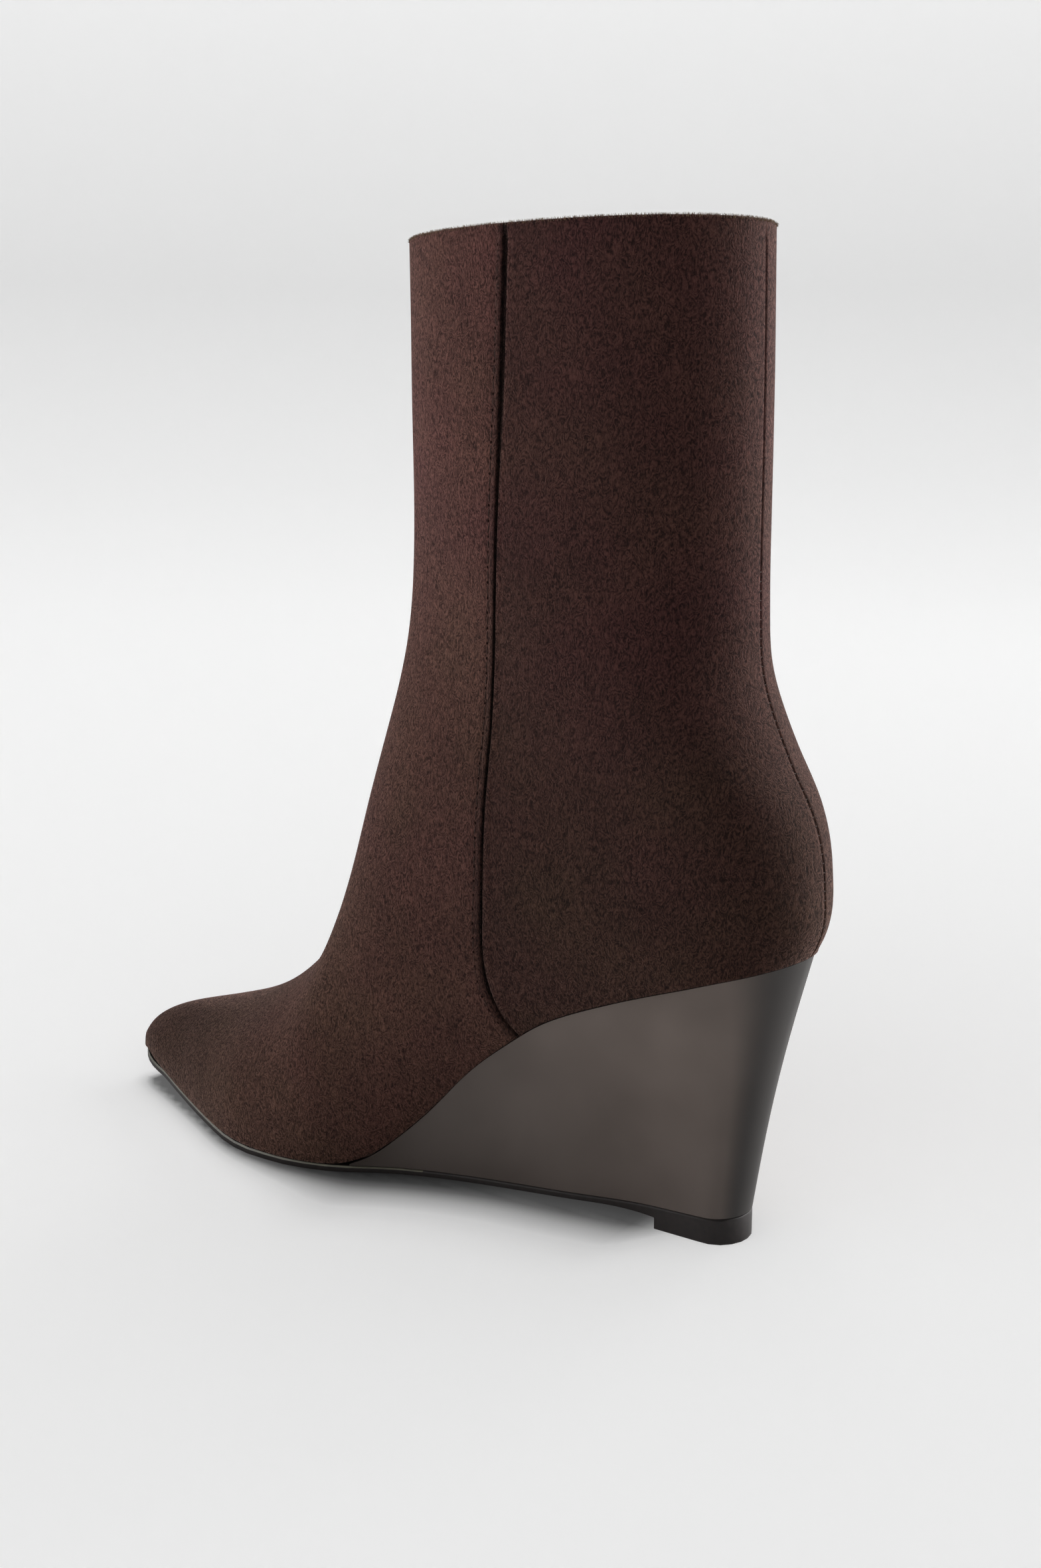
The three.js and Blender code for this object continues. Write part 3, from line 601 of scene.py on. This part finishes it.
def thread_piece(name, length, radius, dive):
    """A short thread along Z that bows out along X and dives at both ends."""
    bpy.ops.object.select_all(action="DESELECT")
    bpy.ops.mesh.primitive_cylinder_add(vertices=8, radius=radius, depth=length, end_fill_type="NGON")
    made = bpy.context.active_object
    made.name = name
    bpy.ops.object.mode_set(mode="EDIT")
    bpy.ops.mesh.select_mode(type="EDGE")
    bpy.ops.mesh.select_all(action="DESELECT")
    bpy.ops.object.mode_set(mode="OBJECT")
    for edge in made.data.edges:
        ends = [made.data.vertices[v].co.z for v in edge.vertices]
        edge.select = abs(ends[0] - ends[1]) > length / 2
    bpy.ops.object.mode_set(mode="EDIT")
    bpy.ops.mesh.subdivide(number_cuts=6)
    bpy.ops.object.mode_set(mode="OBJECT")
    for vertex in made.data.vertices:
        share = abs(vertex.co.z) / (length / 2)
        vertex.co.x -= dive * share ** 3
        slim = 1 - 0.35 * share ** 2
        vertex.co.y *= slim
    bpy.ops.object.shade_smooth()
    return made


def pinhole(name, radius):
    """A small dark cup where the needle went in, its face along X."""
    bpy.ops.object.select_all(action="DESELECT")
    bpy.ops.mesh.primitive_uv_sphere_add(segments=10, ring_count=6, radius=radius)
    made = bpy.context.active_object
    made.name = name
    bpy.ops.transform.resize(value=(0.3, 0.8, 1.25))
    bpy.ops.object.transform_apply(location=False, rotation=False, scale=True)
    bpy.ops.object.shade_smooth()
    return made


def on_upper(side, y, z):
    """The outside of the upper and its outward direction, at a place of the side view."""
    hit, normal, _, _ = upper_tree.ray_cast(Vector((side * 0.1, y, z)), Vector((-side, 0, 0)))
    return hit, normal


def along_seam(side, y, z, step_y, step_z):
    """Place and turn of a stitch: X out of the cloth, Z along the seam."""
    here, out = on_upper(side, y, z)
    there, _ = on_upper(side, y + step_y, z + step_z)
    up = (there - here).normalized()
    out = (out - up * out.dot(up)).normalized()
    across = up.cross(out)
    return Matrix((
        (out.x, across.x, up.x, here.x),
        (out.y, across.y, up.y, here.y),
        (out.z, across.z, up.z, here.z),
        (0, 0, 0, 1),
    ))


# Bonding closes the thread's surface: it is smoother than the nap, dull and a shade darker.
thread = start_material("bonded polyester thread, matched to the upper")
thread_place = add(thread, "ShaderNodeTexCoord").outputs["Object"]
plies = add(thread, "ShaderNodeTexNoise", {"Vector": thread_place}, Scale=1 / (0.4 * MM), Detail=1.0)
thread_tone = ramp(thread, plies.outputs[0], [(0.0, linear("#1a100e")), (1.0, linear("#35241e"))])
close_up(thread, add(
    thread, "ShaderNodeBsdfPrincipled", {"Base Color": thread_tone.outputs[0]},
    Roughness=0.75, IOR=1.5, Specular_IOR_Level=0.15,
))

# Painted shade: the needle hole is a near-black cup, for the shadow down the hole where the needle
# pressed the nap in.
shade_in_hole = start_material("needle hole, painted shade")
hole_place = add(shade_in_hole, "ShaderNodeTexCoord").outputs["Object"]
hole_noise = add(
    shade_in_hole, "ShaderNodeTexNoise", {"Vector": hole_place}, Scale=1 / (0.3 * MM), Detail=1.0
)
hole_painted_shade = ramp(
    shade_in_hole, hole_noise.outputs[0], [(0.0, linear("#0a0605")), (1.0, linear("#1a110f"))]
)
close_up(shade_in_hole, add(
    shade_in_hole, "ShaderNodeBsdfPrincipled", {"Base Color": hole_painted_shade.outputs[0]},
    Roughness=1.0, Specular_IOR_Level=0.0,
))

STITCH_PITCH = 4.2 * MM
STITCH_LENGTH = 3.0 * MM
THREAD_RADIUS = 0.16 * MM
THREAD_DIVE = 0.4 * MM
THREAD_LEAN = 0.09
HOLE_RADIUS = 0.32 * MM
CLOSER_ON_TOP = 0.8 * MM
stitch_model = thread_piece("stitch_model", STITCH_LENGTH, THREAD_RADIUS, THREAD_DIVE)
stitch_model.data.materials.append(thread)
hole_model = pinhole("hole_model", HOLE_RADIUS)
hole_model.data.materials.append(shade_in_hole)

random.seed(7)
seam_steps = np.diff(seam, axis=0)
seam_run = np.concatenate([[0], np.cumsum(np.linalg.norm(seam_steps, axis=1))])
for side, side_name in ((-1, "inner"), (1, "outer")):
    row = []
    for number in range(1, int((seam_run[-1] - 2 * MM) / STITCH_PITCH)):
        run = number * STITCH_PITCH
        k = int(np.searchsorted(seam_run, run)) - 1
        share = (run - seam_run[k]) / (seam_run[k + 1] - seam_run[k])
        y, z = seam[k] + share * seam_steps[k]
        step_y, step_z = seam_steps[k] / np.linalg.norm(seam_steps[k]) * MM
        away = STITCH_AHEAD - CLOSER_ON_TOP * eased(z, 0.2, 0.27)
        y += away * step_z / MM
        z -= away * step_y / MM
        frame_here = along_seam(side, y, z, step_y, step_z)
        lean = Matrix.Rotation(random.uniform(-THREAD_LEAN, THREAD_LEAN), 4, "X")
        sunk = Matrix.Translation((-0.1 * MM, 0, 0))
        row.append(placed_copy(stitch_model, frame_here @ sunk @ lean))
        gap = Matrix.Translation((-0.02 * MM, 0, STITCH_PITCH / 2))
        row.append(placed_copy(hole_model, frame_here @ gap))
    stitches = joined(row, f"lap_stitches_{side_name}")
    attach(stitches, "root")
bpy.data.objects.remove(stitch_model)
bpy.data.objects.remove(hole_model)

# Bars across the back seam, from the seat to above the ankle, sunk in its groove.
BAR_PITCH = 2.5 * MM
BAR_LENGTH = 1.5 * MM
BAR_RADIUS = 0.15 * MM
BAR_DIVE = 0.2 * MM
BAR_OUT = 0.3 * MM
BAR_SLANT = 14
BACK_LOWEST = 92 * MM
BACK_HIGHEST = 190 * MM
bar_model = thread_piece("bar_model", BAR_LENGTH, BAR_RADIUS, BAR_DIVE)
bar_model.data.materials.append(thread)
bars = []
level = BACK_LOWEST
while level < BACK_HIGHEST:
    here, _, _, _ = upper_tree.ray_cast(Vector((0, -0.2, level)), Vector((0, 1, 0)))
    above, _, _, _ = upper_tree.ray_cast(Vector((0, -0.2, level + MM)), Vector((0, 1, 0)))
    up = (above - here).normalized()
    out = Vector((1, 0, 0)).cross(up)
    slant = Matrix.Rotation(math.radians(90 + random.uniform(-BAR_SLANT, BAR_SLANT)), 4, out)
    across = slant @ up
    third = across.cross(out)
    bars.append(placed_copy(bar_model, Matrix((
        (out.x, third.x, across.x, here.x + out.x * BAR_OUT),
        (out.y, third.y, across.y, here.y + out.y * BAR_OUT),
        (out.z, third.z, across.z, here.z + out.z * BAR_OUT),
        (0, 0, 0, 1),
    ))))
    level += BAR_PITCH * up.z
back_stitches = joined(bars, "back_seam_stitches")
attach(back_stitches, "root")
bpy.data.objects.remove(bar_model)


# Topline nap
# The turned microsuede raises its fibres along the topline: fine ends about 0.6 mm long, which
# catch the light from behind as a thin tan rim. They are drawn as fewer and larger ones, 0.2 mm
# thick and about 1 mm long, so that the rim shows at the photo's size.
FIBRE_RADIUS = 0.1 * MM
FIBRE_LENGTH = 1.05 * MM
TUFT_SPAN = 3 * MM
TUFT_FIBRES = 72
RIM_WIDTH = 1.5 * MM
RIM_DROOP = 0.45 * MM
FIBRE_BEND = 0.36

bpy.ops.object.select_all(action="DESELECT")
bpy.ops.mesh.primitive_cone_add(
    vertices=3, radius1=FIBRE_RADIUS, radius2=0.25 * FIBRE_RADIUS, depth=FIBRE_LENGTH,
    location=(0, 0, FIBRE_LENGTH * 0.3),
)
fibre = bpy.context.active_object
bpy.ops.object.transform_apply(location=True)
bpy.ops.object.mode_set(mode="EDIT")
bpy.ops.mesh.select_all(action="SELECT")
bpy.ops.mesh.bisect(plane_co=(0, 0, FIBRE_LENGTH * 0.3), plane_no=(0, 0, 1))
bpy.ops.object.mode_set(mode="OBJECT")
for vertex in fibre.data.vertices:
    vertex.co.x += FIBRE_BEND * max(0, vertex.co.z) ** 2 / MM

# Painted light: the split fibres are coloured a paler tan than the cloth, for light that comes through
# them from behind; they are dull, with a little sheen.
fuzz_fibre = start_material("microfibre ends, split and raised")
fibre_place = add(fuzz_fibre, "ShaderNodeTexCoord").outputs["Object"]
fibre_noise = add(fuzz_fibre, "ShaderNodeTexNoise", {"Vector": fibre_place}, Scale=1 / (2 * MM))
fibre_painted_glow = ramp(
    fuzz_fibre, fibre_noise.outputs[0], [(0.0, linear("#3f2b24")), (1.0, linear("#745b3a"))]
)
close_up(fuzz_fibre, add(
    fuzz_fibre, "ShaderNodeBsdfPrincipled", {"Base Color": fibre_painted_glow.outputs[0]},
    Roughness=0.8, Sheen_Weight=0.4, Sheen_Roughness=0.3,
))
fibre.data.materials.append(fuzz_fibre)

TUFT_KINDS = 5
tufts = []
for kind in range(TUFT_KINDS):
    strands = []
    for _ in range(TUFT_FIBRES):
        spot = Vector((
            random.uniform(-0.5, 0.5) * RIM_WIDTH, random.uniform(-0.5, 0.5) * TUFT_SPAN, 0,
        ))
        droop = (spot.x / RIM_WIDTH * 2) ** 2
        spot.z = -RIM_DROOP * droop
        turn = Matrix.Rotation(random.uniform(0, 2 * math.pi), 4, "Z")
        tilt = Matrix.Rotation(spot.x / RIM_WIDTH * 1.7 + random.uniform(-0.5, 0.5), 4, "Y")
        size = Matrix.Diagonal((1, 1, random.uniform(0.5, 1.15), 1))
        strands.append(placed_copy(fibre, Matrix.Translation(spot) @ tilt @ turn @ size))
    tufts.append(joined(strands, f"tuft_{kind}"))

RIM_STEPS = 100
COLLAR_MIDDLE = Vector((0, 44.4 * MM, TOPLINE - 1.2 * MM))
rim = []
for number in range(RIM_STEPS):
    turn = 2 * math.pi * number / RIM_STEPS
    outward = Vector((math.sin(turn) * 0.6, math.cos(turn), 0)).normalized()
    outer, _, _, _ = upper_tree.ray_cast(COLLAR_MIDDLE + outward * 0.2, -outward)
    inner, _, _, _ = upper_tree.ray_cast(COLLAR_MIDDLE, outward)
    rim.append((outer + inner) / 2)
fringe = []
for number, spot in enumerate(rim):
    tangent = (rim[(number + 1) % RIM_STEPS] - rim[number - 1]).normalized()
    outward = tangent.cross(Vector((0, 0, 1)))
    if outward.dot(spot - COLLAR_MIDDLE) < 0:
        outward = -outward
    fringe.append(placed_copy(tufts[number % TUFT_KINDS], Matrix((
        (outward.x, tangent.x, 0, spot.x),
        (outward.y, tangent.y, 0, spot.y),
        (0, 0, 1, TOPLINE - 0.25 * MM),
        (0, 0, 0, 1),
    ))))
topline_nap = joined(fringe, "topline_nap")
for spare in [fibre, *tufts]:
    bpy.data.objects.remove(spare)
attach(topline_nap, "root")


# Wedge
# A light moulded core with smooth leather drawn tightly round it and cemented, finished with a
# satin dressing: its sides curve in a little between the foot and the outsole.
wedge = merged_copy("wedge", "boot_wedge")
WRAP_EDGE = 40
crease_sharp(wedge, WRAP_EDGE, 1.0)
subdivide_smoothly(wedge, 2)
bpy.ops.object.shade_smooth_by_angle(angle=math.radians(WRAP_EDGE))

# The dressing closes the leather's pores: a broad soft gleam, and no grain to be seen.
leather = start_material("smooth calf leather, satin-dressed and lasted")
leather_place = add(leather, "ShaderNodeTexCoord").outputs["Object"]
grain = add(leather, "ShaderNodeTexNoise", {"Vector": leather_place}, Scale=1 / (0.5 * MM), Detail=3.0)
shade = add(leather, "ShaderNodeTexNoise", {"Vector": leather_place}, Scale=1 / (30 * MM), Detail=2.0)
dyed = ramp(leather, shade.outputs[0], [(0.3, linear("#453c37")), (0.7, linear("#4f4641"))])

# Painted shade: the wrap is coloured darker towards the ball and the floor, and most of all round its
# back, where it faces away; near the heel and high up under the foot it is painted a little lighter.
wrap_axis = add(leather, "ShaderNodeSeparateXYZ", {"Vector": leather_place})
painted_shade_to_ball = add(
    leather, "ShaderNodeMapRange", {"Value": wrap_axis.outputs[1]},
    interpolation_type="SMOOTHSTEP", From_Min=-0.01, From_Max=0.1, To_Min=1.15, To_Max=0.72,
)
painted_shade_to_floor = add(
    leather, "ShaderNodeMapRange", {"Value": wrap_axis.outputs[2]},
    interpolation_type="SMOOTHSTEP", From_Min=0.0, From_Max=0.07, To_Min=0.8, To_Max=1.08,
)
wrap_normal = add(leather, "ShaderNodeTexCoord").outputs["Normal"]
facing = add(leather, "ShaderNodeSeparateXYZ", {"Vector": wrap_normal})
painted_shade_round_back = add(
    leather, "ShaderNodeMapRange", {"Value": facing.outputs[1]},
    interpolation_type="SMOOTHSTEP", From_Min=-0.9, From_Max=-0.5, To_Min=0.15, To_Max=1.0,
)
painted_shade_ball_floor = add(
    leather, "ShaderNodeMath", {0: painted_shade_to_ball.outputs[0], 1: painted_shade_to_floor.outputs[0]},
    operation="MULTIPLY",
)
painted_light_and_shade = add(
    leather, "ShaderNodeMath", {0: painted_shade_ball_floor.outputs[0], 1: painted_shade_round_back.outputs[0]},
    operation="MULTIPLY",
)
leather_with_painted_shade = add(
    leather, "ShaderNodeHueSaturation", {"Color": dyed.outputs[0], "Value": painted_light_and_shade.outputs[0]},
)
pores = add(leather, "ShaderNodeBump", {"Height": grain.outputs[0]}, Strength=0.12, Distance=0.05 * MM)
close_up(leather, add(
    leather, "ShaderNodeBsdfPrincipled",
    {"Base Color": leather_with_painted_shade.outputs[0], "Normal": pores.outputs[0]},
    Roughness=0.52, IOR=1.5, Specular_IOR_Level=0.33,
))
wedge.data.materials.append(leather)
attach(wedge, "root")
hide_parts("wedge")


# Outsole and heel lift
# One moulding of dark rubber from the toe to the heel lift, cemented on and trimmed to the last,
# with a bevel round its upper edge that is painted pale along the forepart, as a highlight.
BEVEL_WIDTH = 0.45 * MM
BEVEL_HIGHLIGHT_FROM = 85 * MM
FOOT_ROUND = 0.35 * MM

# Moulded rubber is dull, and faintly cloudy where it has been handled.
rubber = start_material("styrene rubber, moulded and dyed")
rubber_place = add(rubber, "ShaderNodeTexCoord").outputs["Object"]
scuffs = add(rubber, "ShaderNodeTexNoise", {"Vector": rubber_place}, Scale=1 / (1.5 * MM), Detail=3.0)
rubber_tone = ramp(rubber, scuffs.outputs[0], [(0.3, linear("#161211")), (0.7, linear("#1e1918"))])
close_up(rubber, add(
    rubber, "ShaderNodeBsdfPrincipled", {"Base Color": rubber_tone.outputs[0]},
    Roughness=0.6, IOR=1.5, Specular_IOR_Level=0.25,
))

# Painted highlight: along the forepart the bevel is coloured paler and olive, where its edge catches the
# light.
bevel_highlight = start_material("styrene rubber bevel, painted pale as a highlight")
bevel_place = add(bevel_highlight, "ShaderNodeTexCoord").outputs["Object"]
bevel_noise = add(bevel_highlight, "ShaderNodeTexNoise", {"Vector": bevel_place}, Scale=1 / (4 * MM), Detail=3.0)
bevel_highlight_tone = ramp(bevel_highlight, bevel_noise.outputs[0], [(0.35, linear("#302d22")), (0.65, linear("#413e30"))])
close_up(bevel_highlight, add(
    bevel_highlight, "ShaderNodeBsdfPrincipled", {"Base Color": bevel_highlight_tone.outputs[0]},
    Roughness=0.6, IOR=1.5,
))

outsole = merged_copy("outsole", "boot_outsole")
outsole.data.materials.append(rubber)
outsole.data.materials.append(bevel_highlight)

# The sole's tip is trimmed as blunt as the toe above it, round the middle line of the toe's point.
TIP_START = 203 * MM
TIP_LENGTH = 17 * MM
TIP_WIDER = 0.95
TIP_FORWARD = 1.3 * MM
TIP_RISE = 2.9 * MM
POINT_Y = 210 * MM
POINT_X = -4.1 * MM
POINT_SWING = 0.147
for vertex in outsole.data.vertices:
    share = max(0.0, (vertex.co.y - TIP_START) / TIP_LENGTH) ** 3
    middle = POINT_X - POINT_SWING * (vertex.co.y - POINT_Y)
    vertex.co.x = middle + (vertex.co.x - middle) * (1 + TIP_WIDER * share)
    vertex.co.y += TIP_FORWARD * share
    vertex.co.z += TIP_RISE * share

# The faces that look up at the wedge and the upper are ringed by the edge that gets the bevel.
LOOKS_UP = 0.6
work_on(outsole)
bpy.ops.object.mode_set(mode="EDIT")
bpy.ops.mesh.select_mode(type="FACE")
bpy.ops.mesh.select_all(action="DESELECT")
bpy.ops.object.mode_set(mode="OBJECT")
for face in outsole.data.polygons:
    face.select = face.normal.z > LOOKS_UP
bpy.ops.object.mode_set(mode="EDIT")
bpy.ops.mesh.region_to_loop()
bpy.ops.mesh.bevel(offset=BEVEL_WIDTH, segments=1, material=1)
bpy.ops.object.mode_set(mode="OBJECT")
for face in outsole.data.polygons:
    if face.center.y < BEVEL_HIGHLIGHT_FROM:
        face.material_index = 0
edge_round = outsole.modifiers.new("trimmed edge", "BEVEL")
edge_round.width = FOOT_ROUND
edge_round.segments = 2
edge_round.limit_method = "ANGLE"
edge_round.angle_limit = math.radians(60)
bpy.ops.object.modifier_apply(modifier=edge_round.name)
bpy.ops.object.shade_smooth_by_angle(angle=math.radians(30))
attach(outsole, "root")
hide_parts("outsole")


# Insole sock
# A plain-woven textile sock on thin foam, cut to the last's bottom and cemented over the insole
# board. It is seen only down the shaft.
sock = merged_copy("insole", "boot_insole_sock")
work_on(sock)
sock_edge = sock.modifiers.new("turned edge", "BEVEL")
sock_edge.width = 0.4 * MM
sock_edge.segments = 2
sock_edge.limit_method = "ANGLE"
sock_edge.angle_limit = math.radians(40)
bpy.ops.object.modifier_apply(modifier=sock_edge.name)
bpy.ops.object.shade_smooth_by_angle(angle=math.radians(35))

# A plain weave under wear is flat and matt.
textile = start_material("textile sock, plain-woven and foam-backed")
textile_place = add(textile, "ShaderNodeTexCoord").outputs["Object"]
threads = add(textile, "ShaderNodeTexNoise", {"Vector": textile_place}, Scale=1 / (0.8 * MM), Detail=2.0)
weave = ramp(textile, threads.outputs[0], [(0.3, linear("#54453b")), (0.7, linear("#6a594d"))])
close_up(textile, add(
    textile, "ShaderNodeBsdfPrincipled", {"Base Color": weave.outputs[0]}, Roughness=0.9,
))
sock.data.materials.append(textile)
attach(sock, "root")
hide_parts("insole")
